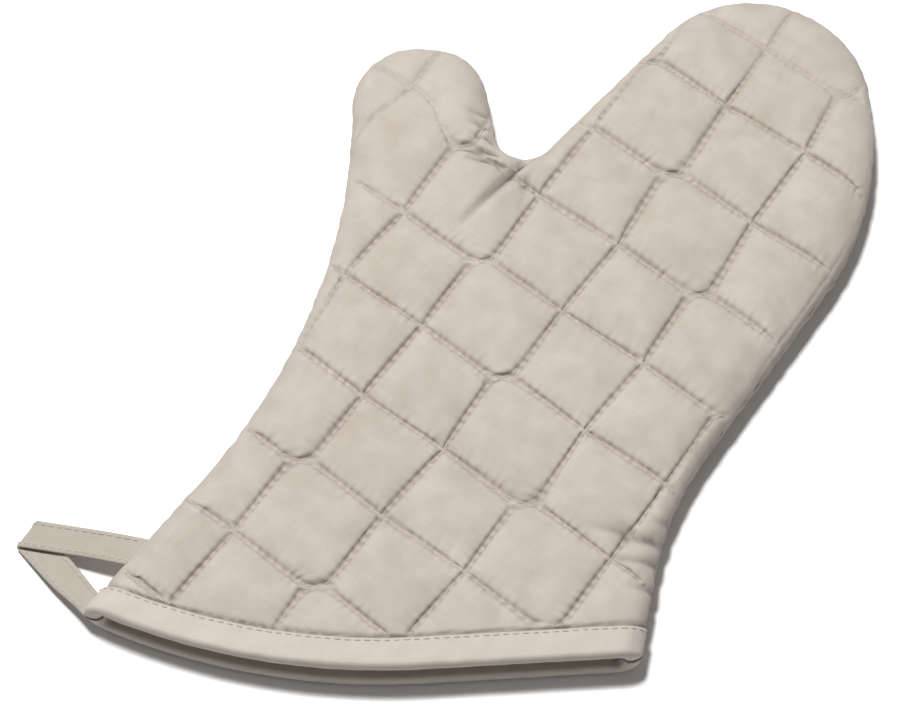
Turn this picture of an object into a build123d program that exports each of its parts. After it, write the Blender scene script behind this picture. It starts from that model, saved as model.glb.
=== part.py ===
# A quilted oven mitt lying on its back panel: fingers towards +Y, thumb towards -X, front panel up.
# Sizes are in millimetres. The side seam lies in one plane, halfway up.
import os
from math import asin, atan2, ceil, cos, degrees, hypot, sqrt, tan

from build123d import *

os.makedirs("parts", exist_ok=True)

# Corners of the outline in the plane of the side seam, with the radius that rounds each one
cuff_left = (-59.7, -190.2)
wrist_left, wrist_left_radius = (-53.7, -39.2), 260.0
thumb_left, thumb_left_radius = (-129.7, 68.8), 27.0
thumb_right, thumb_right_radius = (-83.7, 94.3), 23.0
crotch, crotch_radius = (-37.7, 48.3), 11.5
finger_tip, finger_tip_radius = (-15.7, 260.8), 47.5
finger_right, finger_right_radius = (90.8, 130.8), 132.0
wrist_right, wrist_right_radius = (91.8, -29.2), 135.0
cuff_right = (117.8, -85.2)

# The cuff's edge bows out towards the wearer and is fullest below the thumb
cuff_bow, cuff_bow_radius = (5.8, -177.2), 260.0

# Layers of each quilted panel, from the outside in
shell_thickness = 1.0
batting_thickness = 4.6
lining_thickness = 0.9
layer_gap = 0.15
hand_space = 4.2
seam_wall = 1.0

# Quilting: two sets of straight stitched valleys that cross at right angles
quilt_pitch = 38.1
quilt_column = 12.5
quilt_row = 12.0
valley_depth = 2.2
valley_width = 10.0

# Bias tape folded over the cuff's edge of each panel
binding_width = 12.0
binding_tape = 0.8
binding_recess = 1.4
binding_gap = 0.1
binding_stitch_setback = 1.8

# Thread
thread_diameter = 0.6
thread_gap = 0.03
seam_allowance = 3.5

# Hang loop: a folded length of the same tape, sewn into the side seam at the thumb side of the cuff
loop_width = 12.0
loop_thickness = 1.6
loop_reach = 38.5
loop_lower_leg = 6.8
loop_upper_leg = 32.0
loop_tip = 12.2
loop_leg_gap = 0.15
loop_seam_clearance = 0.3
loop_table_clearance = 0.4
loop_stitch_setback = 1.6

# Heights and depths that follow from the layers
lining_face = shell_thickness + layer_gap + batting_thickness + layer_gap
hand_face = lining_face + lining_thickness
half_height = hand_face + hand_space
edge_round = half_height - seam_wall
bevel_share = 2 - sqrt(2)
batting_face = shell_thickness + layer_gap
batting_back = batting_face + batting_thickness
binding_face = binding_recess - binding_gap - binding_tape
binding_back = hand_face + binding_gap + binding_tape
cuff_setback = binding_tape + binding_gap
valley_slope = atan2(valley_depth, valley_width / 2)
valley_floor = 2 * half_height - valley_depth
seam_plane = Plane.XY.offset(half_height)

# Reach of the straight cuts: past every side of the outline
run_on = 80.0
far = 2 * hypot(finger_tip[0] - cuff_left[0], finger_tip[1] - cuff_left[1])


def past(start, corner, y):
    """The point at height y on the line that runs from a corner through start."""
    share = (y - corner[1]) / (start[1] - corner[1])
    return (corner[0] + share * (start[0] - corner[0]), y)


def outline_prism(inset, height):
    """The outline drawn in by an inset, raised from the seam plane and run on past the cuff."""
    end_y = min(cuff_left[1], cuff_right[1]) - run_on
    with BuildPart() as prism:
        with BuildSketch(seam_plane):
            with BuildLine():
                side_seam = FilletPolyline(
                    past(cuff_left, wrist_left, end_y), wrist_left, thumb_left, thumb_right, crotch,
                    finger_tip, finger_right, wrist_right, past(cuff_right, wrist_right, end_y),
                    radius=[wrist_left_radius, thumb_left_radius, thumb_right_radius, crotch_radius,
                            finger_tip_radius, finger_right_radius, wrist_right_radius],
                )
                Line(side_seam @ 1, side_seam @ 0)
            make_face()
            if inset:
                offset(amount=-inset, kind=Kind.INTERSECTION)
        extrude(amount=height)
    return prism.part


def pillow(inset):
    """The upper half of the cushion shape, drawn in by an inset all round; its round edge is one flat bevel."""
    with BuildPart() as form:
        add(outline_prism(inset, half_height - inset))
        rim = form.faces().sort_by(Axis.Z)[-1].edges().sort_by(Axis.Y)[1:]
        chamfer(rim, bevel_share * (edge_round - inset))
    return form.part


def cuff_side(setback):
    """All that lies on the wearer's side of a line set back from the cuff's edge."""
    with BuildPart() as beyond:
        with BuildSketch(Plane.XY.offset(-half_height)):
            with BuildLine():
                left_end = (2 * cuff_left[0] - cuff_bow[0], 2 * cuff_left[1] - cuff_bow[1])
                right_end = (2 * cuff_right[0] - cuff_bow[0], 2 * cuff_right[1] - cuff_bow[1])
                edge = FilletPolyline(left_end, cuff_bow, right_end, radius=cuff_bow_radius)
                Polyline(edge @ 1, (right_end[0], -far), (left_end[0], -far), edge @ 0)
            make_face()
            if setback:
                offset(amount=setback, kind=Kind.INTERSECTION)
        extrude(amount=4 * half_height)
    return beyond.part


def quilt_lines(first, lowest, highest):
    """Places of one set of quilting lines that cross the outline."""
    start = first - quilt_pitch * ceil((first - lowest) / quilt_pitch)
    count = ceil((highest - start) / quilt_pitch) + 1
    return [start + quilt_pitch * i for i in range(count)]


columns = quilt_lines(quilt_column, thumb_left[0], cuff_right[0])
rows = quilt_lines(quilt_row, cuff_left[1], finger_tip[1])


def valleys(inset, band):
    """The quilting valleys of a layer that lies an inset below the outer face."""
    floor = valley_floor - inset / cos(valley_slope)
    rise = 2 * half_height - floor + valley_depth
    half_width = rise / tan(valley_slope)
    with BuildPart() as cut:
        for plane, places in ((Plane.XZ, columns), (Plane.YZ, rows)):
            with BuildSketch(plane):
                for place in places:
                    with Locations((place, floor)):
                        Polygon((0, 0), (half_width, rise), (-half_width, rise), align=None)
            extrude(amount=far, both=True)
        add(cuff_side(band), mode=Mode.SUBTRACT)
    return cut.part


def quilted(inset):
    """A face of the quilted panel: puffed cells, and a flat band stepped down under the binding."""
    with BuildPart() as step:
        add(cuff_side(binding_width + inset))
        add(pillow(binding_recess + inset), mode=Mode.SUBTRACT)
    with BuildPart() as form:
        add(pillow(inset))
        add(valleys(inset, binding_width - inset), mode=Mode.SUBTRACT)
        add(step.part, mode=Mode.SUBTRACT)
    return form.part


def save(piece, name):
    piece.part.label = name
    export_step(piece.part, f"parts/{name}.step")


def save_mirrored(piece, name):
    """The back panel's piece is the front panel's, mirrored in the seam plane."""
    with BuildPart() as back:
        mirror(piece.part, about=seam_plane)
    save(back, name)


# Outer shell: cotton cloth
with BuildPart() as shell:
    add(quilted(0))
    add(quilted(shell_thickness), mode=Mode.SUBTRACT)
    add(cuff_side(cuff_setback), mode=Mode.SUBTRACT)
save(shell, "front_shell")
save_mirrored(shell, "back_shell")

# Side seam thread: one closed row of stitches just inside the edge, from cuff corner to cuff corner
thread_radius = thread_diameter / 2


def seam_row(half_width):
    """A band along the side seam's row of stitches, half of it above the seam plane."""
    with BuildPart() as row:
        add(outline_prism(seam_allowance - half_width, half_width))
        add(outline_prism(seam_allowance + half_width, half_width), mode=Mode.SUBTRACT)
        add(cuff_side(binding_width), mode=Mode.SUBTRACT)
    return row.part


# Batting: the heat-resistant filling, with a channel where the side seam's stitches pull it down
with BuildPart() as batting:
    add(quilted(batting_face))
    add(pillow(batting_back), mode=Mode.SUBTRACT)
    add(cuff_side(cuff_setback), mode=Mode.SUBTRACT)
    add(seam_row(thread_radius + thread_gap), mode=Mode.SUBTRACT)
save(batting, "front_batting")
save_mirrored(batting, "back_batting")

with BuildPart() as seam_thread:
    add(seam_row(thread_radius))
    mirror(about=seam_plane)
save(seam_thread, "side_seam_thread")

# Lining: plain cloth round the hand
with BuildPart() as lining:
    add(pillow(lining_face))
    add(pillow(hand_face), mode=Mode.SUBTRACT)
    add(cuff_side(cuff_setback), mode=Mode.SUBTRACT)
save(lining, "front_lining")
save_mirrored(lining, "back_lining")

# Cuff binding: tape folded round the edges of all three layers
with BuildPart() as bound_layers:
    add(pillow(binding_face + binding_tape))
    add(pillow(binding_back - binding_tape), mode=Mode.SUBTRACT)
    add(cuff_side(binding_tape), mode=Mode.SUBTRACT)
with BuildPart() as binding:
    add(pillow(binding_face))
    add(pillow(binding_back), mode=Mode.SUBTRACT)
    add(cuff_side(binding_width - binding_gap), mode=Mode.INTERSECT)
    add(cuff_side(0), mode=Mode.SUBTRACT)
    add(bound_layers.part, mode=Mode.SUBTRACT)
save(binding, "front_cuff_binding")
save_mirrored(binding, "back_cuff_binding")

# Binding thread: the row of stitches along the binding's upper edge
stitch_line = binding_width - binding_stitch_setback
with BuildPart() as binding_thread:
    add(pillow(binding_face - thread_radius))
    add(pillow(binding_face), mode=Mode.SUBTRACT)
    add(cuff_side(stitch_line + thread_radius), mode=Mode.INTERSECT)
    add(cuff_side(stitch_line - thread_radius), mode=Mode.SUBTRACT)
save(binding_thread, "front_binding_thread")
save_mirrored(binding_thread, "back_binding_thread")

# Quilting thread: straight rows on the valley floors, the cross rows over the long ones
thread_seat = valley_floor + thread_radius * (1 + tan(valley_slope)) + thread_gap
row_seat = thread_seat + thread_diameter + thread_gap
thread_top = row_seat + thread_diameter - half_height - seam_wall
thread_inset = max(thread_top - (1 - bevel_share) * edge_round, 0)
with BuildPart() as quilt_thread:
    for plane, places, seat in ((Plane.XZ, columns, thread_seat), (Plane.YZ, rows, row_seat)):
        with BuildSketch(plane):
            with Locations(*[(place, seat) for place in places]):
                Rectangle(thread_diameter, thread_diameter)
        extrude(amount=far, both=True)
    add(outline_prism(thread_inset, half_height), mode=Mode.INTERSECT)
    add(cuff_side(binding_width + binding_gap), mode=Mode.SUBTRACT)
save(quilt_thread, "front_quilt_thread")
save_mirrored(quilt_thread, "back_quilt_thread")

# Hang loop: it swings about the side seam, and its two legs cross at the folded tip
# In the loop's own planes x runs along the side seam from the cuff corner and y runs outwards.
seam_run = Vector(wrist_left[0] - cuff_left[0], wrist_left[1] - cuff_left[1], 0).normalized()
seam_out = Vector(-seam_run.Y, seam_run.X, 0)
knuckle_radius = loop_thickness / 2
loop_origin = Vector(*cuff_left, half_height) + seam_out * (knuckle_radius + loop_seam_clearance)
bead_radius = loop_thickness + loop_leg_gap / 2
leg_rise = 2 * degrees(asin((loop_thickness + loop_leg_gap) / 2 / loop_reach))

lower_run = Vector(loop_tip - loop_lower_leg, loop_reach).normalized()
upper_run = Vector(loop_tip - loop_upper_leg, loop_reach).normalized()
fold_run = (lower_run - upper_run).normalized()
fold_length = loop_width / abs(lower_run.X * fold_run.Y - lower_run.Y * fold_run.X)
fold_reach = loop_reach + abs(fold_run.Y) * fold_length / 2
droop = degrees(asin((half_height - bead_radius - loop_table_clearance) / fold_reach))
fold_normal = Vector(-fold_run.Y, fold_run.X)


def drooped(angle):
    """A plane through the side seam that falls away outwards by an angle."""
    return Plane(loop_origin, x_dir=seam_run, z_dir=Vector(0, 0, 1).rotate(Axis((0, 0, 0), seam_run), -angle))


lower_plane = drooped(droop + leg_rise / 2)
upper_plane = drooped(droop - leg_rise / 2)
fold_plane = drooped(droop)


def strip(plane, leg, run, width, thickness, side, start, end):
    """A flat strip along one leg, between a distance from the seam and a distance short of the fold."""
    with BuildPart() as length:
        with BuildSketch(plane):
            with Locations((leg - side * run.Y, side * run.X)):
                Rectangle(far, width, rotation=degrees(atan2(run.Y, run.X)))
        extrude(amount=thickness)
        seam_end = Plane(plane.from_local_coords((leg, start, 0)), z_dir=plane.y_dir)
        split(bisect_by=seam_end, keep=Keep.TOP)
        away = plane.from_local_coords(fold_normal) - plane.origin
        tip = plane.from_local_coords(Vector(loop_tip, loop_reach) - fold_normal * end)
        split(bisect_by=Plane(tip, z_dir=away), keep=Keep.BOTTOM)
    return length.part


def knuckle(plane, leg, run):
    """The rounded end of a leg, on the line that the loop swings about."""
    width = loop_width / run.Y
    with BuildPart() as end:
        with BuildSketch(Plane(plane.from_local_coords((leg - width / 2, 0, 0)), z_dir=plane.x_dir)):
            Circle(knuckle_radius)
        extrude(amount=width)
    return end.part


with BuildPart() as loop:
    for plane, leg, run in ((lower_plane, loop_lower_leg, lower_run), (upper_plane, loop_upper_leg, upper_run)):
        tape_base = plane.offset(-knuckle_radius)
        add(strip(tape_base, leg, run, loop_width, loop_thickness, 0, 0, 0))
        add(knuckle(plane, leg, run))
    fold_start = Vector(loop_tip, loop_reach) - fold_run * (fold_length / 2)
    fold_end = Vector(loop_tip, loop_reach) + fold_run * (fold_length / 2)
    bead_start = fold_plane.from_local_coords(fold_start)
    bead_end = fold_plane.from_local_coords(fold_end)
    with BuildSketch(Plane(bead_start, z_dir=bead_end - bead_start)):
        Circle(bead_radius)
    extrude(amount=fold_length)
save(loop, "hang_loop")

# Loop thread: rows of stitches along both edges, on the outer face of each leg
row_offset = loop_width / 2 - loop_stitch_setback
row_start = 2 * loop_thickness
with BuildPart() as loop_thread:
    for side in (-row_offset, row_offset):
        top_face = upper_plane.offset(knuckle_radius)
        add(strip(top_face, loop_upper_leg, upper_run, thread_diameter, thread_radius, side, row_start, row_start))
        under_face = lower_plane.offset(-knuckle_radius - thread_radius)
        add(strip(under_face, loop_lower_leg, lower_run, thread_diameter, thread_radius, side, row_start, row_start))
save(loop_thread, "loop_edge_thread")
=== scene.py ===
import math

import bpy
import numpy as np
from mathutils import Matrix, Vector, noise


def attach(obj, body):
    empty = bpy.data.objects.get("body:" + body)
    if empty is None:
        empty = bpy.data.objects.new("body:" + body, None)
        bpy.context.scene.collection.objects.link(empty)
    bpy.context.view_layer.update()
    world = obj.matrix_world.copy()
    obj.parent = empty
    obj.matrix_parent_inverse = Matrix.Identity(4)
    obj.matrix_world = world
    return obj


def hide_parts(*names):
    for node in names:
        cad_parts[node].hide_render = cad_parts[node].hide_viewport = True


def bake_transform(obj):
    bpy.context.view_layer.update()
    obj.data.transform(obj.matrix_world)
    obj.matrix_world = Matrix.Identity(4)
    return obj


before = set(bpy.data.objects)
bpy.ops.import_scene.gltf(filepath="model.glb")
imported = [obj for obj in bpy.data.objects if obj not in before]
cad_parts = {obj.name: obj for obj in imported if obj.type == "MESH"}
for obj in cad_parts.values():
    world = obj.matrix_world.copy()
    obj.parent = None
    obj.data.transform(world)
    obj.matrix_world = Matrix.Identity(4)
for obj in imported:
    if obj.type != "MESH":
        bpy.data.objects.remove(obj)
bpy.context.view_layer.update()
mm = 0.001
print("frame loaded")

# The mitt's outline in the plane of the side seam, in millimetres: corner, then the radius that rounds it
outline = {
    "corners": [(-59.7, -190.2), (-53.7, -39.2), (-129.7, 68.8), (-83.7, 94.3), (-37.7, 48.3),
                (-15.7, 260.8), (90.8, 130.8), (91.8, -29.2), (117.8, -85.2)],
    "radii": [260.0, 27.0, 23.0, 11.5, 47.5, 132.0, 135.0],
    "cuff": [(-59.7, -190.2), (5.8, -177.2), (117.8, -85.2)],
    "cuffRadius": 260.0,
    "runOn": 80.0,
    "spacing": 1.5,
}
form = {"halfHeight": 11.0, "edgeRound": 9.4}

# Quilting: even squares, but the sewn lines stray a little, and at every third corner two lines meet abreast
quilt = {
    "pitch": 38.1, "column": 12.5, "row": 12.0,
    "heights": [-178, -140, -102, -64, -26, 12, 50, 88, 126, 164, 202],
    "strayAcross": [-8.0, -6.5, -4.0, -1.4, -0.9, 1.2, 2.2, 1.4, 1.1, 0.0, 0.0],
    "strayUp": [7.0, 6.0, 5.2, 2.6, 2.2, 0.8, 0.4, 1.6, 3.4, -2.0, -2.0],
    "meetEvery": 3, "meetFirst": 2, "meetApart": 4.4, "meetTurn": 0.024, "meetSpread": 0.6,
    # The column and row marks set how dark the painted shade is along the stitched columns and rows
    "meetWay": (0.81, 0.59), "stitch": 4.2, "columnShade": 1.0, "rowShade": 0.7,
}

# On the thumb the quilting leans over, across and up, towards the tip and shows less
thumb = {
    "base": (-64.0, 30.0), "way": (-0.64, 0.77),
    "fade": 0.55, "fadeAlong": (-24.0, -4.0), "fadeAcross": (64.0, 72.0),
    "lean": (5.3, 11.5), "leanFrom": ((62.0, 95.0), (57.0, 97.0)), "leanAbove": ((30.0, 52.0), (22.0, 50.0)),
}

# Cutting a pattern: room round the outline, how near threads snap to the cut, and the least gap between them
cutting = {"room": 24, "snap": 0.35, "leastGap": 0.3, "settle": 3}

# Smooth noise: how far its seeds lie apart, and its strength
rippling = {"shift": (17.3, 5.1, 2.7), "strength": 1.6}


def spread(points, count):
    # The same line with a set number of evenly spaced points
    along = np.concatenate([[0], np.cumsum(np.linalg.norm(np.diff(points, axis=0), axis=1))])
    at = np.linspace(0, along[-1], count)
    return np.stack([np.interp(at, along, points[:, k]) for k in range(points.shape[1])], axis=1)


def rounded(corners, radii, spacing):
    # A polyline through the corners with each inner one rounded by an arc
    points = [np.array(corners[0], float)]
    for before, corner, after, radius in zip(corners, corners[1:], corners[2:], radii):
        b = np.array(corner, float)
        u = np.array(before) - b
        v = np.array(after) - b
        u /= np.linalg.norm(u)
        v /= np.linalg.norm(v)
        half = math.acos(float(np.clip(u @ v, -1, 1))) / 2
        centre = b + (u + v) / np.linalg.norm(u + v) * radius / math.sin(half)
        start = b + u * radius / math.tan(half) - centre
        end = b + v * radius / math.tan(half) - centre
        sweep = math.pi - 2 * half
        count = max(4, int(sweep * radius / spacing))
        turn = np.sign(start[0] * end[1] - start[1] * end[0])
        for i in range(count + 1):
            a = turn * sweep * i / count
            points.append(centre + np.array([start[0] * math.cos(a) - start[1] * math.sin(a),
                                             start[0] * math.sin(a) + start[1] * math.cos(a)]))
    points.append(np.array(corners[-1], float))
    points = np.array(points)
    length = np.linalg.norm(np.diff(points, axis=0), axis=1).sum()
    return spread(points, int(length / spacing) + 1)


def runPast(inner, end, distance):
    # A point further along the line from inner through end
    d = np.array(end, float) - np.array(inner, float)
    return tuple(np.array(end) + d / np.linalg.norm(d) * distance)


def seamLine():
    c = outline["corners"]
    longer = [runPast(c[1], c[0], outline["runOn"])] + c[1:-1] + [runPast(c[-2], c[-1], outline["runOn"])]
    return rounded(longer, outline["radii"], outline["spacing"])


def cuffLine():
    c = outline["cuff"]
    longer = [runPast(c[1], c[0], outline["runOn"]), c[1], runPast(c[1], c[2], outline["runOn"])]
    return rounded(longer, [outline["cuffRadius"]], outline["spacing"])


def distanceTo(line, points, side):
    # Signed distance of each point to a line, the direction in which it grows, and the place along the line
    flat = points.reshape(-1, 2)
    a = line[:-1]
    ab = np.diff(line, axis=0)
    length = (ab ** 2).sum(1)
    distance = np.empty(len(flat))
    along = np.empty(len(flat))
    away = np.empty((len(flat), 2))
    # Points are taken in chunks to save memory; right on the line, the way off it comes from the line itself
    chunk = 4000
    onLine = 0.05
    for i in range(0, len(flat), chunk):
        part = slice(i, i + chunk)
        p = flat[part]
        t = np.clip(((p[:, None] - a) * ab).sum(2) / length, 0, 1)
        off = p[:, None] - (a + t[..., None] * ab)
        d2 = (off ** 2).sum(2)
        k = d2.argmin(1)
        row = np.arange(len(p))
        near = off[row, k]
        tangent = ab[k] / np.sqrt(length[k])[:, None]
        inward = np.stack([tangent[:, 1], -tangent[:, 0]], axis=1) * side
        sign = np.where((near * inward).sum(1) >= 0, 1.0, -1.0)
        d = np.sqrt(d2[row, k])
        distance[part] = d * sign
        along[part] = (k + t[row, k]) * outline["spacing"]
        smooth = near * sign[:, None] / np.maximum(d, 1e-9)[:, None]
        away[part] = np.where((d > onLine)[:, None], smooth, inward)
    shape = points.shape[:-1]
    return distance.reshape(shape), away.reshape(points.shape), along.reshape(shape)


seam = seamLine()
cuff = cuffLine()


def aboveCuff(points):
    # Distance up from the cuff's edge
    return distanceTo(cuff, points, -1)[0]


def pillow(points, inset):
    # Flat cloth laid over the cushion shape drawn in by an inset: places, normals, distance from the seam
    side, inward, _ = distanceTo(seam, points, 1)
    radius = form["edgeRound"] - inset
    depth = side - inset
    fromSeam = np.maximum(depth + (math.pi / 2 - 1) * radius, 0)
    angle = np.minimum(fromSeam / radius, math.pi / 2)
    moved = np.where(angle < math.pi / 2, radius * (1 - np.cos(angle)) - depth, 0)
    place = np.zeros(points.shape[:-1] + (3,))
    place[..., :2] = points + inward * moved[..., None]
    place[..., 2] = form["halfHeight"] + (form["halfHeight"] - inset) * np.sin(angle)
    normal = np.zeros_like(place)
    normal[..., :2] = -inward * np.cos(angle)[..., None]
    normal[..., 2] = np.sin(angle)
    return place, normal, fromSeam


def smoothStep(low, high, x):
    t = np.clip((x - low) / (high - low), 0, 1)
    return t * t * (3 - 2 * t)


def quiltPlaces(sewn):
    # Where the points of even quilting lie on the flat pattern
    flat = sewn.copy()
    outward, upward = -sewn[..., 0], sewn[..., 1]
    for axis, stray in enumerate(("strayAcross", "strayUp")):
        lean = thumb["lean"][axis] * smoothStep(*thumb["leanFrom"][axis], outward)
        flat[..., axis] += lean * smoothStep(*thumb["leanAbove"][axis], upward)
        flat[..., axis] += np.interp(upward, quilt["heights"], quilt[stray])
    grid = (sewn - np.array([quilt["column"], quilt["row"]])) / quilt["pitch"]
    apart = np.zeros(sewn.shape[:-1])
    for corner in ((0, 0), (0, 1), (1, 0), (1, 1)):
        at = np.floor(grid) + corner
        off = grid - at
        meets = at.sum(-1) % quilt["meetEvery"] == quilt["meetFirst"]
        turn = quilt["meetTurn"] + quilt["meetSpread"] * np.abs(off[..., 0] - off[..., 1])
        apart += np.tanh(off.sum(-1) / turn) * np.prod(1 - np.abs(off), axis=-1) * meets
    return flat + apart[..., None] * quilt["meetApart"] * np.array(quilt["meetWay"])


def gridLines(first, offsets, low, high, extra=()):
    # Places of the pattern's threads on one axis: closer together by the stitches, and at the extra places
    pitch = quilt["pitch"]
    cell = np.array(offsets + [pitch / 2] + [pitch - o for o in offsets[:0:-1]])
    cells = np.arange(math.floor((low - first) / pitch), math.ceil((high - first) / pitch) + 1)
    lines = (first + cells[:, None] * pitch + cell).ravel()
    for place in extra:
        lines = np.append(lines[np.abs(lines - place) > cutting["leastGap"]], place)
    return np.sort(lines[(lines > low) & (lines < high)])


def seamSpare(inset):
    # Cloth that the rounded edge takes up beyond the seam's own line
    return (math.pi / 2 - 1) * (form["edgeRound"] - inset) - inset


def cutGaps(points, inset, trim):
    # Distance inside the pattern's cut line, and the direction in which it grows
    side, inward, _ = distanceTo(seam, points, 1)
    mouth, upward, _ = distanceTo(cuff, points, -1)
    side = side + seamSpare(inset)
    mouth = mouth - trim
    byCuff = mouth < side
    return np.where(byCuff, mouth, side), np.where(byCuff[..., None], upward, inward)


def borderPoints(faces):
    # The points on edges that only one face has
    count = {}
    for f in faces:
        for a, b in zip(f, f[1:] + f[:1]):
            key = (min(a, b), max(a, b))
            count[key] = count.get(key, 0) + 1
    return np.unique([v for key, n in count.items() if n == 1 for v in key])


def patternGrid(inset, offsets, trim, columns=(), rows=()):
    # Flat cloth cut to the mitt's pattern, its threads in line with the quilting
    low = seam.min(0) - cutting["room"]
    low[1] = cuff[:, 1].min() - cutting["room"]
    high = seam.max(0) + cutting["room"]
    xs = gridLines(quilt["column"], offsets, low[0], high[0], columns)
    ys = gridLines(quilt["row"], offsets, low[1], high[1], rows)
    sewn = np.stack(np.meshgrid(xs, ys), axis=2)
    points = quiltPlaces(sewn)
    gap, grow = cutGaps(points, inset, trim)
    step = np.minimum(*np.meshgrid(np.gradient(xs), np.gradient(ys)))
    onCut = np.abs(gap) < cutting["snap"] * step
    points[onCut] -= grow[onCut] * gap[onCut][:, None]
    gap[onCut] = 0
    both = list(np.concatenate([points, sewn], axis=2).reshape(-1, 4))
    gap = gap.ravel()
    width = len(xs)
    crossings = {}
    faces = []
    for j in range(len(ys) - 1):
        for i in range(width - 1):
            a = j * width + i
            ring = [a, a + 1, a + width + 1, a + width]
            if max(gap[v] for v in ring) <= 0:
                continue
            face = []
            for v, w in zip(ring, ring[1:] + ring[:1]):
                if gap[v] >= 0:
                    face.append(v)
                if gap[v] * gap[w] < 0:
                    key = (min(v, w), max(v, w))
                    if key not in crossings:
                        share = gap[v] / (gap[v] - gap[w])
                        crossings[key] = len(both)
                        both.append(both[v] * (1 - share) + both[w] * share)
                    face.append(crossings[key])
            if len(face) >= 3:
                faces.append(face)
    used = np.unique(np.concatenate([np.array(f) for f in faces]))
    place = np.full(len(both), -1)
    place[used] = np.arange(len(used))
    faces = [[int(place[v]) for v in f] for f in faces]
    both = np.array(both)[used]
    flat = both[:, :2].copy()
    border = borderPoints(faces)
    for _ in range(cutting["settle"]):
        gap, grow = cutGaps(flat[border], inset, trim)
        flat[border] -= grow * gap[:, None]
    return {"flat": flat, "sewn": both[:, 2:], "faces": faces, "border": border}


def toStitches(sewn):
    # Distance of each point from the nearest column and from the nearest row of stitches
    half = quilt["pitch"] / 2
    toColumn = np.abs((sewn[:, 0] - quilt["column"] + half) % quilt["pitch"] - half)
    toRow = np.abs((sewn[:, 1] - quilt["row"] + half) % quilt["pitch"] - half)
    return toColumn, toRow


def ripple(points, size, seed):
    # Smooth noise at each point, about -1 to 1, with waves of the given size
    shift = Vector([seed * s for s in rippling["shift"]])
    spaced = np.zeros((len(points), 3))
    spaced[:, :points.shape[1]] = points / np.array(size)
    return np.array([noise.noise(Vector(p) + shift) for p in spaced]) * rippling["strength"]


def gathered(rows, key, width, kind=float):
    # One value of every row of Blender's data, as an array
    values = np.empty(len(rows) * width, kind)
    rows.foreach_get(key, values)
    return values.reshape(-1, width)


def loopPoints(mesh):
    return gathered(mesh.loops, "vertex_index", 1, np.int64).ravel()


def addMap(mesh, title, values):
    # A map on the cloth, from two values at each point
    layer = mesh.uv_layers.new(name=title)
    layer.data.foreach_set("uv", values[loopPoints(mesh)].ravel())


def newObject(name, data):
    made = bpy.data.objects.new(name, data)
    bpy.context.collection.objects.link(made)
    return made


def newMesh(name, places, faces, edges=(), **maps):
    mesh = bpy.data.meshes.new(name)
    mesh.from_pydata([tuple(v) for v in np.asarray(places) * mm], edges, faces)
    for title, values in maps.items():
        addMap(mesh, title, np.asarray(values) * mm)
    mesh.shade_smooth()
    mesh.update()
    return newObject(name, mesh)


def baked(piece):
    # Modifiers turned into a plain mesh
    depsgraph = bpy.context.evaluated_depsgraph_get()
    mesh = bpy.data.meshes.new_from_object(piece.evaluated_get(depsgraph))
    mesh.name = piece.name
    piece.modifiers.clear()
    piece.data = mesh
    return piece


def subdivided(piece):
    sub = piece.modifiers.new("smooth", "SUBSURF")
    sub.levels = sub.render_levels = 1
    sub.uv_smooth = "NONE"
    return baked(piece)


def thickened(piece, thickness, offset):
    wall = piece.modifiers.new("thickness", "SOLIDIFY")
    wall.thickness = thickness * mm
    wall.offset = offset
    return baked(piece)


def meshPlaces(piece):
    return gathered(piece.data.vertices, "co", 3) / mm


def meshNormals(piece):
    return gathered(piece.data.vertex_normals, "vector", 3)


def meshMap(piece, title):
    # Where each point lies in the flat pattern or in the quilting, read back from the cloth's own map
    places = np.empty((len(piece.data.vertices), 2))
    places[loopPoints(piece.data)] = gathered(piece.data.uv_layers[title].data, "uv", 2) / mm
    return places


def setPlaces(piece, places):
    piece.data.vertices.foreach_set("co", (places * mm).ravel())
    piece.data.update()


def turnedOver(places, faces):
    # The same sheet in the lower panel
    turned = places.copy()
    turned[:, 2] = 2 * form["halfHeight"] - turned[:, 2]
    return turned, [f[::-1] for f in faces]


# Quilted outer cloth: simulated between its stitches, then sewn channels and puckers worked into it
panel = {
    "thickness": 0.9, "cuffTrim": 1.2, "offsets": [0, 0.6, 1.4, 2.6, 4.6, 7.6, 11.3, 15.0],
    "foldColumns": [-43.2, -42.2, -41.2, -40.4, -39.6, -38.6, -37.6, -54.2, -58.0],
    "foldRows": [53.2, 56.0, 59.0, 60.4, 63.0, 64.6, 66.2],
    "frames": 24, "simScale": 10.0, "valley": 1.0, "valleyFrom": 12.0, "puffShare": 0.8, "reach": 6.0,
    "bindingWidth": 12.0, "bandRecess": 1.0, "bandHold": 1.5, "bandClear": 0.5, "rimSteady": (3.0, 13.0),
    "channelDepth": 1.4, "depthWave": (0.3, 14.0), "channelWidth": 1.15, "widthWave": (0.25, 23.0),
    "pucker": 0.36, "puckerLong": 9.0, "puckerShort": 2.6, "puckerReach": 4.0, "puckerClear": (-0.5, 2.5),
    "deepest": 3.2, "swell": (0.35, 31.0), "tableShare": 0.55, "creaseFrom": (0.5, 4.5),
    "seamPinch": 0.9, "pinchWidth": 1.6, "seamPucker": 0.5, "seamWave": 4.2, "seamReach": 7.0,
    "seamLong": 0.4, "showFrom": (3.5, 13.0), "tipFade": 0.5, "tipFrom": (132.0, 158.0),
    "cuffPress": 1.4, "cuffPressTo": (10.0, 32.0),
    # The ditch keys set the painted shade along the binding's upper edge: where, how wide, how dark and how
    # it varies
    "ditch": 11.8, "ditchWidth": 0.9, "ditchShade": 0.7, "ditchWave": (0.25, 3.2),
}

# How the outer cloth behaves when it is blown up
clothSettings = {
    "quality": 6, "mass": 0.15, "tension_stiffness": 12, "compression_stiffness": 12, "shear_stiffness": 3,
    "bending_stiffness": 0.05, "vertex_group_mass": "pins", "shrink_min": -0.02, "use_pressure": True,
    "uniform_pressure_force": 3.0,
}

# Rows of quilting stitches: where they keep clear, and what counts as one run
quiltRow = {"fromSeam": 8.0, "fromCuff": 0.6, "hiddenIn": 0.5, "onLine": 0.02, "longestGap": 4.5, "fewest": 3,
            "frontLift": 0.02, "backLift": 0.34}
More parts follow.
